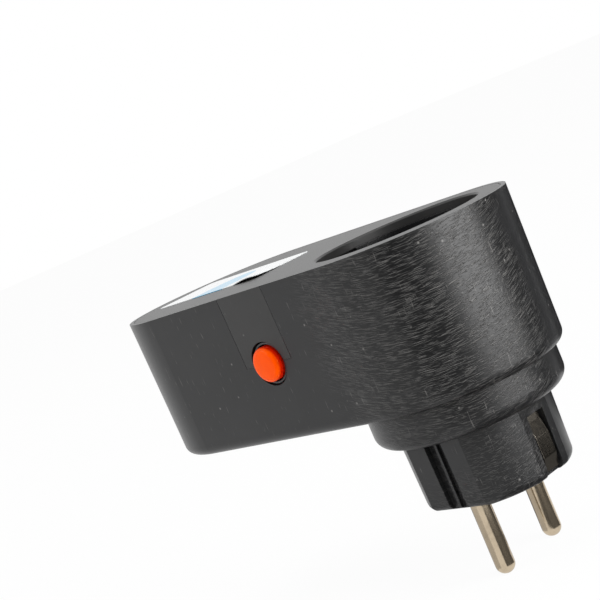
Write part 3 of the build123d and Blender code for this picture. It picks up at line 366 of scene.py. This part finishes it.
def pale_marks(m, along, height, wall, scuff_and_shade_level):
    """Scattered pale specks, and short upright marks on walls that are scuffed."""
    distance, random = m.cells(SPECK_SCALE)
    chosen = m.step(m.split(random)[0], *SPECK_CHOICE)
    specks = m.math("MULTIPLY", m.step(distance, *SPECK_EDGE), chosen)
    place = m.join(m.math("DIVIDE", along, MARK_WIDTH), m.math("DIVIDE", height, MARK_HEIGHT), MARK_SEED)
    field = m.noise(1.0, detail=1.0, vector=place)
    marks = m.step(field, *MARK_CHOICE, out_high=MARK_STRENGTH * scuff_and_shade_level)
    return m.math("MAXIMUM", specks, m.math("MULTIPLY", marks, wall))


def scuff_and_shade_mask(m, along, clouds, wall, scuff_and_shade_level):
    """How scuffed the plastic is, which is also how strongly painted shade darkens it. It fades out along the
    side and past the middle of the end, and is less on the plug, where the near flat face has little. The top
    has none."""
    x, y, z = m.split(m.position)
    side = m.step(m.plus(x, clouds, SIDE_RAGGED), -SIDE_FADE, SIDE_FADE)
    end = m.step(m.plus(along, clouds, END_RAGGED), END_NONE, END_FULL)
    near = m.step(y, NOSE_FLAT + NOSE_FLAT_INNER, NOSE_FLAT - NOSE_FLAT_OUTER)
    low = m.step(z, NOSE_TOP, NOSE_TOP - MM)
    off_flat = m.math("SUBTRACT", 1.0, m.math("MULTIPLY", near, low))
    plug = m.step(z, NOSE_TOP, NOSE_TOP + PLUG_FADE, out_low=PLUG_SCUFF_AND_SHADE)
    scuff_and_shade = side
    for share in (end, off_flat, wall, plug, scuff_and_shade_level):
        scuff_and_shade = m.math("MULTIPLY", scuff_and_shade, share)
    return scuff_and_shade


def plastic(name, colour, pale=PALE, scuff_and_shade_level=0.0, roughness=0.32, specular=0.38):
    """Moulded plastic: fine grain, faint clouds, pale specks and, where it is scuffed, fine scratches over a
    painted shade that darkens it.
    """
    m = Nodes(name)
    z = m.split(m.position)[2]
    along, height = around(m)
    clouds = m.noise(scale=90.0, detail=3.0)
    fine = m.noise(scale=2600.0, detail=2.0)
    wall = m.step(z, TOP_Z - TOP_CLEAR, TOP_Z - TOP_FADE)

    scratches = 0.0
    for stroke in STROKES:
        scratches = m.math("ADD", scratches, strokes(m, along, height, **stroke))
    scuff_and_shade = scuff_and_shade_mask(m, along, clouds, wall, scuff_and_shade_level)
    worn = m.math("MULTIPLY", scratches, scuff_and_shade)
    specks = pale_marks(m, along, height, wall, scuff_and_shade_level)

    cloudy = m.step(clouds, low=0.3, high=0.7)
    base = m.mix(cloudy, scaled(colour, CLOUD_DARK), scaled(colour, CLOUD_LIGHT))
    # Painted shade: the scuffed socket end and plug are darkened towards near black under the scratches
    base = m.mix(m.math("MULTIPLY", scuff_and_shade, PAINTED_SHADE_SHARE), base, PAINTED_SHADE_GROUND)
    tone = m.mix(m.math("MULTIPLY", worn, SCRATCH_SHARE), base, pale)
    tone = m.mix(m.math("MULTIPLY", specks, SPECK_SHARE), tone, scaled(pale, SPECK_PALE))

    rough = m.plus(roughness, m.math("SUBTRACT", fine, NOISE_MIDDLE), GRAIN_ROUGH)
    rough = m.math("SUBTRACT", rough, m.math("MULTIPLY", worn, WORN_SMOOTH))
    relief = m.plus(m.math("MULTIPLY", fine, GRAIN), worn, SCRATCH_RELIEF)
    normal = m.bump(relief, PLASTIC_RELIEF, strength=0.75, normal=m.bevel(PLASTIC_EDGE))
    return m.set(Base_Color=tone, Roughness=rough, Normal=normal, Specular_IOR_Level=specular)


# Other materials

def gloss(name, colour, deeper, roughness=0.18, coat=0.4, specular=0.5, tint=WHITE, rim=None):
    """Glossy coloured plastic with faint flow marks, and on the button a darker red painted as shade on the
    side of its cap.
    """
    m = Nodes(name)
    flow = m.noise(scale=260.0, detail=3.0, distortion=0.6)
    dust = m.noise(scale=5200.0, detail=1.0)
    tone = m.mix(m.step(flow, low=0.3, high=0.75), colour, deeper)
    # Painted shade: the side of the button's cap turns a darker red
    if rim is not None:
        y = m.split(m.position)[1]
        depth = m.math("SUBTRACT", y, BUTTON_LOW.y + BUTTON_LOWER)
        tone = m.mix(m.step(depth, RIM_SHADE_NEAR, RIM_SHADE_FAR), tone, rim)
    rough = m.plus(roughness, flow, FLOW_ROUGH)
    normal = m.bump(dust, FINE_RELIEF, strength=0.25, normal=m.bevel(PLASTIC_EDGE))
    m.set(Base_Color=tone, Roughness=rough, Normal=normal)
    return m.set(Specular_IOR_Level=specular, Specular_Tint=tint, Coat_Weight=coat, Coat_Roughness=0.06)


def metal(name, colour, darker, roughness, stain, plug_unshaded=1.0):
    """Plated or stamped metal with drawn lines and a faint tarnish, darkened by painted shade on the plug
    where its plug_unshaded is less than 1."""
    m = Nodes(name)
    x, y, z = m.split(m.position)
    stretched = m.join(x, y, m.math("MULTIPLY", z, DRAWN_STRETCH))
    drawn = m.noise(scale=2400.0, detail=3.0, vector=stretched)
    tarnish = m.noise(scale=420.0, detail=4.0, rough=0.65)
    stained = m.step(tarnish, low=0.42, high=0.72)
    tone = m.mix(m.math("MULTIPLY", stained, stain), colour, darker)
    # Painted shade: inside the plug the metal is darkened towards a dark brown
    if plug_unshaded < 1.0:
        unshaded = m.step(z, NOSE_TOP, NOSE_TOP + PAINTED_SLOT_SHADE_FADE, out_low=plug_unshaded)
        tone = m.mix(unshaded, PAINTED_SLOT_SHADE, tone)
    rough = m.plus(m.plus(roughness, drawn, DRAWN_ROUGH), tarnish, TARNISH_ROUGH)
    normal = m.bump(drawn, FINE_RELIEF, strength=0.35, normal=m.bevel(METAL_EDGE))
    return m.set(Base_Color=tone, Roughness=rough, Normal=normal, Metallic=1.0)


def label_paper(name):
    """A coated white label with a plain rounded block of cyan at its near side."""
    m = Nodes(name)
    x, y, z = m.split(m.position)
    middle = (LABEL_LOW.x + LABEL_HIGH.x) / 2 + BLOCK_ASIDE
    u = m.math("DIVIDE", m.math("SUBTRACT", x, middle), BLOCK_HALF)
    v = m.math("DIVIDE", m.math("SUBTRACT", y, LABEL_LOW.y), BLOCK_LENGTH)
    across, along = [m.math("POWER", m.math("ABSOLUTE", part), BLOCK_ROUND) for part in (u, v)]
    block = m.step(m.math("ADD", across, along), *BLOCK_EDGE)
    fibre = m.noise(scale=1500.0, detail=3.0)
    print_grain = m.noise(scale=5200.0, detail=1.0)
    white = m.mix(fibre, (0.74, 0.76, 0.77), (0.80, 0.81, 0.81))
    cyan = m.mix(print_grain, (0.09, 0.40, 0.62), (0.13, 0.45, 0.68))
    tone = m.mix(block, white, cyan)
    normal = m.bump(fibre, FINE_RELIEF, strength=0.3)
    rough = m.plus(LABEL_ROUGH, fibre, FIBRE_ROUGH)
    return m.set(Base_Color=tone, Roughness=rough, Normal=normal, Coat_Weight=0.6, Coat_Roughness=0.12)


def make_plastics():
    return {
        "housing": plastic("housing_plastic", CHARCOAL, scuff_and_shade_level=1.0),
        "cover": plastic(
            "cover_plastic",
            (0.019, 0.0187, 0.0185),
            scuff_and_shade_level=0.15,
            roughness=0.38,
            specular=0.4,
        ),
        "insert": plastic("insert_plastic", (0.006, 0.006, 0.0065), roughness=0.28, specular=0.3),
        "breaker": plastic("breaker_plastic", (0.02, 0.02, 0.02), roughness=0.4),
        "bush": plastic("bush_plastic", (0.035, 0.035, 0.037), roughness=0.3, specular=0.5),
        "carrier": plastic("carrier_plastic", (0.42, 0.42, 0.40), pale=(0.6, 0.6, 0.58), roughness=0.5),
        "slider": plastic("slider_plastic", (0.72, 0.72, 0.66), pale=(0.85, 0.85, 0.8), roughness=0.5),
        "button": gloss(
            "button_plastic",
            (1.0, 0.092, 0.0),
            (0.97, 0.076, 0.0),
            roughness=0.12,
            coat=0.0,
            specular=0.22,
            tint=(1.0, 0.32, 0.06),
            # Painted shade on the side of the cap
            rim=(0.72, 0.012, 0.0),
        ),
        "shutter": gloss("shutter_plastic", (0.02, 0.42, 0.50), (0.015, 0.36, 0.46)),
        "wire": gloss(
            "wire_insulation",
            (0.10, 0.035, 0.014),
            (0.08, 0.028, 0.012),
            roughness=0.35,
            coat=0.1,
        ),
    }


def make_metals():
    return {
        "pin": metal("pin_nickel", (0.58, 0.48, 0.35), (0.32, 0.26, 0.19), roughness=0.09, stain=0.3),
        "strap": metal(
            "strap_nickel",
            (0.66, 0.61, 0.53),
            (0.42, 0.36, 0.28),
            roughness=0.10,
            stain=0.4,
            # Inside the plug the strap keeps less than half its own colour, the rest painted shade
            plug_unshaded=0.45,
        ),
        "brass": metal("contact_brass", (0.80, 0.58, 0.28), (0.55, 0.36, 0.16), roughness=0.28, stain=0.5),
        "steel": metal("screw_steel", (0.62, 0.62, 0.61), (0.40, 0.39, 0.37), roughness=0.30, stain=0.4),
        "bimetal": metal("bimetal_strip", (0.60, 0.55, 0.47), (0.42, 0.37, 0.31), roughness=0.30, stain=0.5),
    }


LOOKS = {
    "base_shell": "housing",
    "front_cover": "cover",
    "rating_label": "label",
    "socket_insert": "insert",
    "contact_carrier": "carrier",
    "line_socket_contact": "brass",
    "neutral_socket_contact": "brass",
    "neutral_link": "brass",
    "shutter": "shutter",
    "shutter_spring": "steel",
    "earth_strap_right": "strap",
    "earth_strap_left": "strap",
    "earth_bridge": "strap",
    "earth_rivets": "brass",
    "line_pin": "pin",
    "neutral_pin": "pin",
    "pin_retainer": "carrier",
    "breaker_case": "breaker",
    "breaker_lid": "breaker",
    "breaker_rivets": "brass",
    "button_bush": "bush",
    "reset_button": "button",
    "button_spring": "steel",
    "trip_slider": "slider",
    "line_terminal": "brass",
    "load_terminal": "brass",
    "bimetal_strip": "bimetal",
    "supply_receptacle": "brass",
    "load_receptacle": "brass",
    "supply_wire": "wire",
    "load_wire": "wire",
    "cover_screws": "steel",
    "insert_screws": "steel",
    "retainer_screws": "steel",
}


def dress_nodes(materials):
    for name, look in LOOKS.items():
        mesh = NODES[name].data
        mesh.materials.clear()
        mesh.materials.append(materials[look])


# Pieces made in mesh code

def link_object(name, data):
    thing = bpy.data.objects.new(name, data)
    bpy.context.scene.collection.objects.link(thing)
    return thing


def make_piece(work, name, material):
    """An object of a finished bmesh, smooth except at its sharp edges."""
    mesh = bpy.data.meshes.new(name)
    work.to_mesh(mesh)
    work.free()
    mesh.materials.append(material)
    for face in mesh.polygons:
        face.use_smooth = True
    mesh.set_sharp_from_angle(angle=radians(SHARP_ANGLE))
    return link_object(name, mesh)


# The label with its corner by the button lifted off the cover

def label_lift(x, y):
    """How far the label stands off the cover at a point. Its corner by the socket and the button is loose."""
    along = max(0.0, 1 - (LABEL_HIGH.x - x) / LABEL_LIFT_LENGTH)
    across = max(0.0, 1 - (y - LABEL_LOW.y) / LABEL_LIFT_WIDTH)
    wave = sin(radians(LABEL_WAVE_TURN * min(1.0, along)))
    return LABEL_LIFT * wave * across ** LABEL_LIFT_FALL


def label_half(x):
    """Half the label's width at x, less in its rounded corners."""
    half = (LABEL_HIGH.y - LABEL_LOW.y) / 2
    inset = max(0.0, LABEL_CORNER - min(x - LABEL_LOW.x, LABEL_HIGH.x - x))
    return half - LABEL_CORNER + (LABEL_CORNER ** 2 - min(inset, LABEL_CORNER) ** 2) ** 0.5


def label_stations():
    """Places along the label, closer together in its rounded ends."""
    length = LABEL_HIGH.x - LABEL_LOW.x
    straight = length - 2 * LABEL_CORNER
    start = [LABEL_CORNER * t for t in LABEL_CORNER_STEPS]
    middle = [LABEL_CORNER + straight * i / LABEL_STEPS for i in range(LABEL_STEPS + 1)]
    end = [length - s for s in reversed(start)]
    return [LABEL_LOW.x + s for s in start + middle + end]


def make_label(material):
    """The label as one closed sheet, in rows across it."""
    centre = (LABEL_LOW.y + LABEL_HIGH.y) / 2
    thickness = LABEL_HIGH.z - LABEL_LOW.z
    work = bmesh.new()
    top = []
    bottom = []
    for x in label_stations():
        half = label_half(x)
        row = [centre + half * (2 * j / LABEL_ROWS - 1) for j in range(LABEL_ROWS + 1)]
        heights = [label_lift(x, y) for y in row]
        top.append([work.verts.new((x, y, LABEL_HIGH.z + h)) for y, h in zip(row, heights)])
        bottom.append([work.verts.new((x, y, LABEL_HIGH.z - thickness + h)) for y, h in zip(row, heights)])
    for i in range(len(top) - 1):
        for j in range(LABEL_ROWS):
            work.faces.new((top[i][j], top[i + 1][j], top[i + 1][j + 1], top[i][j + 1]))
            work.faces.new((bottom[i][j], bottom[i][j + 1], bottom[i + 1][j + 1], bottom[i + 1][j]))
        work.faces.new((top[i][0], bottom[i][0], bottom[i + 1][0], top[i + 1][0]))
        work.faces.new((top[i][-1], top[i + 1][-1], bottom[i + 1][-1], bottom[i][-1]))
    for j in range(LABEL_ROWS):
        work.faces.new((top[0][j], top[0][j + 1], bottom[0][j + 1], bottom[0][j]))
        work.faces.new((top[-1][j], bottom[-1][j], bottom[-1][j + 1], top[-1][j + 1]))
    sheet = make_piece(work, "label_sheet", material)
    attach(sheet, "housing")
    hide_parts("rating_label")


# The button, lower and rounder than its plain solid

def button_profile():
    """Radius and depth from near the crown's middle, over the rim and flange, to the end of the stem."""
    front = BUTTON_LOW.y + BUTTON_LOWER
    flange = BUSH_HIGH.y + FLANGE_GAP
    flat = BUTTON_RADIUS - BUTTON_ROUND
    crown = [(flat * t, front + BUTTON_CROWN * t * t) for t in CROWN_STEPS]
    turns = [radians(90 / RIM_STEPS * i) for i in range(RIM_STEPS + 1)]
    centre = front + BUTTON_CROWN + BUTTON_ROUND
    rim = [(flat + BUTTON_ROUND * sin(t), centre - BUTTON_ROUND * cos(t)) for t in turns]
    back = [(BUTTON_RADIUS, flange), (FLANGE_RADIUS, flange), (FLANGE_RADIUS, flange + FLANGE_THICKNESS)]
    stem = [(STEM_RADIUS, flange + FLANGE_THICKNESS), (STEM_RADIUS, BUTTON_HIGH.y)]
    return crown + rim + back + stem


def make_button(material):
    """The button, its flange and its stem, turned from one profile."""
    middle_x = (BUTTON_LOW.x + BUTTON_HIGH.x) / 2
    middle_z = (BUTTON_LOW.z + BUTTON_HIGH.z) / 2
    work = bmesh.new()
    first = work.verts.new((middle_x, BUTTON_LOW.y + BUTTON_LOWER, middle_z))
    last = work.verts.new((middle_x, BUTTON_HIGH.y, middle_z))
    turns = [radians(360 * i / BUTTON_SIDES) for i in range(BUTTON_SIDES)]
    rings = [
        [work.verts.new((middle_x + r * cos(t), y, middle_z + r * sin(t))) for t in turns]
        for r, y in button_profile()
    ]
    for i in range(BUTTON_SIDES):
        j = (i + 1) % BUTTON_SIDES
        work.faces.new((first, rings[0][i], rings[0][j]))
        work.faces.new((last, rings[-1][j], rings[-1][i]))
        for one, two in zip(rings, rings[1:]):
            work.faces.new((one[i], two[i], two[j], one[j]))
    bmesh.ops.recalc_face_normals(work, faces=work.faces)
    cap = make_piece(work, "button_cap", material)
    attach(cap, "button")
    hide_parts("reset_button")


# The springs and the bimetal strip, which in the adapter change shape as the button and the shutter move, as
# pieces of their own

def make_stand_in(node, name):
    """A piece with a node's own shape and look, in place of the node, which is hidden."""
    piece = link_object(name, NODES[node].data.copy())
    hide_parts(node)
    return piece


def make_springs():
    coil = make_stand_in("shutter_spring", "shutter_coil")
    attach(coil, "housing")
    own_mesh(coil)

    coil = make_stand_in("button_spring", "button_coil")
    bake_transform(coil)

    strip = make_stand_in("bimetal_strip", "bimetal_leaf")
    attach(strip, "housing")
    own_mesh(strip)


# Floor, cards, world, lamps and camera

def add_plane(name, corners):
    """A flat piece of the studio with the given corners."""
    mesh = bpy.data.meshes.new(name)
    mesh.from_pydata(corners, [], [tuple(range(len(corners)))])
    plane = link_object(name, mesh)
    return plane


def make_floor():
    """A pale floor that keeps the part's shadow and shows as white to the camera and in reflections."""
    signs = ((-1, -1), (1, -1), (1, 1), (-1, 1))
    floor = add_plane("floor", [(x * FLOOR_HALF, y * FLOOR_HALF, FLOOR_Z) for x, y in signs])
    m = Nodes("pale_floor")
    m.set(Base_Color=(0.86, 0.86, 0.86), Roughness=0.9)
    glow = m.new("ShaderNodeEmission")
    glow.inputs["Strength"].default_value = 1.0
    share = m.new("ShaderNodeMixShader")
    path = m.new("ShaderNodeLightPath")
    seen = m.math("MAXIMUM", path.outputs["Is Camera Ray"], path.outputs["Is Transmission Ray"])
    seen = m.math("MAXIMUM", seen, path.outputs["Is Glossy Ray"])
    m.put(share.inputs[0], m.math("MULTIPLY", seen, FLOOR_GLOW))
    m.put(share.inputs[1], m.shader.outputs[0])
    m.put(share.inputs[2], glow.outputs[0])
    m.put(m.tree.nodes["Material Output"].inputs["Surface"], share.outputs[0])
    floor.data.materials.append(m.material)


def make_card(name, corners, tone):
    """A dark card that only reflections see, as a photographer stands beside a shiny thing."""
    card = add_plane(name, corners)
    m = Nodes(name)
    glow = m.new("ShaderNodeEmission")
    glow.inputs["Color"].default_value = (tone, tone, tone, 1.0)
    m.put(m.tree.nodes["Material Output"].inputs["Surface"], glow.outputs[0])
    card.data.materials.append(m.material)
    card.visible_camera = False
    card.visible_diffuse = False
    card.visible_shadow = False
    card.visible_transmission = False


def standing(turn_from, turn_to, away, low, high):
    """Corners of an upright card between two directions, in degrees from +X, seen from the socket's axis."""
    a, b = [(away * cos(radians(t)), away * sin(radians(t))) for t in (turn_from, turn_to)]
    return [(*a, low), (*b, low), (*b, high), (*a, high)]


def lying(y, turn_from, turn_to, near, far, level):
    """Corners of a card on the floor, a sector of a ring about a point on the Y axis."""
    turns = [radians(turn_from + (turn_to - turn_from) * i / CARD_STEPS) for i in range(CARD_STEPS + 1)]
    inner = [(near * cos(t), y + near * sin(t), level) for t in turns]
    outer = [(far * cos(t), y + far * sin(t), level) for t in reversed(turns)]
    return inner + outer


def make_cards():
    """The upright cards, and those on the floor, which lie 0.1 mm or more over it and one another."""
    for name, (turn_from, turn_to, away, top, tone) in STANDING_CARDS.items():
        make_card(name, standing(turn_from, turn_to, away, FLOOR_Z, top), tone)
    for i, y in enumerate((-PIN_Y, PIN_Y)):
        level = FLOOR_Z + (PIN_CARD_LEVEL + PIN_CARD_STEP * i) * MM
        for name, (turn_from, turn_to, tone) in PIN_CARDS.items():
            corners = lying(y, turn_from, turn_to, PIN_CARD_NEAR, PIN_CARD_FAR, level)
            make_card(f"{name}_{i}", corners, tone)
    level = FLOOR_Z + STRAP_CARD_LEVEL
    corners = lying(0.0, *STRAP_CARD_TURNS, STRAP_CARD_NEAR, STRAP_CARD_FAR, level)
    make_card("card_strap", corners, STRAP_CARD_TONE)


def make_world():
    """A white world, dimmer as a light on the part than as a background."""
    world = bpy.data.worlds.new("studio")
    bpy.context.scene.world = world
    world.use_nodes = True
    tree = world.node_tree
    background = tree.nodes["Background"]
    background.inputs["Color"].default_value = (*WHITE, 1.0)
    path = tree.nodes.new("ShaderNodeLightPath")
    strength = tree.nodes.new("ShaderNodeMapRange")
    strength.inputs["To Min"].default_value = 1.0
    strength.inputs["To Max"].default_value = WORLD_FILL
    tree.links.new(path.outputs["Is Diffuse Ray"], strength.inputs["Value"])
    tree.links.new(strength.outputs[0], background.inputs["Strength"])


def make_lamps():
    for name, (place, aim, size, watts) in LAMPS.items():
        data = bpy.data.lights.new(name, "AREA")
        data.shape = "RECTANGLE"
        data.size, data.size_y = size
        data.energy = watts
        lamp = link_object(name, data)
        lamp.location = place
        lamp.rotation_euler = (Vector(place) - Vector(aim)).to_track_quat("Z", "Y").to_euler()
        lamp.visible_camera = False


def make_camera():
    data = bpy.data.cameras.new("camera")
    data.sensor_width = SENSOR
    data.lens = CAMERA_LENS
    data.clip_start = CAMERA_NEAR
    camera = link_object("camera", data)
    camera.location = CAMERA_PLACE
    camera.rotation_euler = [radians(a) for a in CAMERA_TURN]
    bpy.context.scene.camera = camera


materials = {**make_plastics(), **make_metals(), "label": label_paper("label_paper")}
dress_nodes(materials)
make_label(materials["label"])
make_button(materials["button"])
make_springs()
make_floor()
make_cards()
make_world()
make_lamps()
make_camera()
bpy.context.scene.view_settings.view_transform = "Standard"
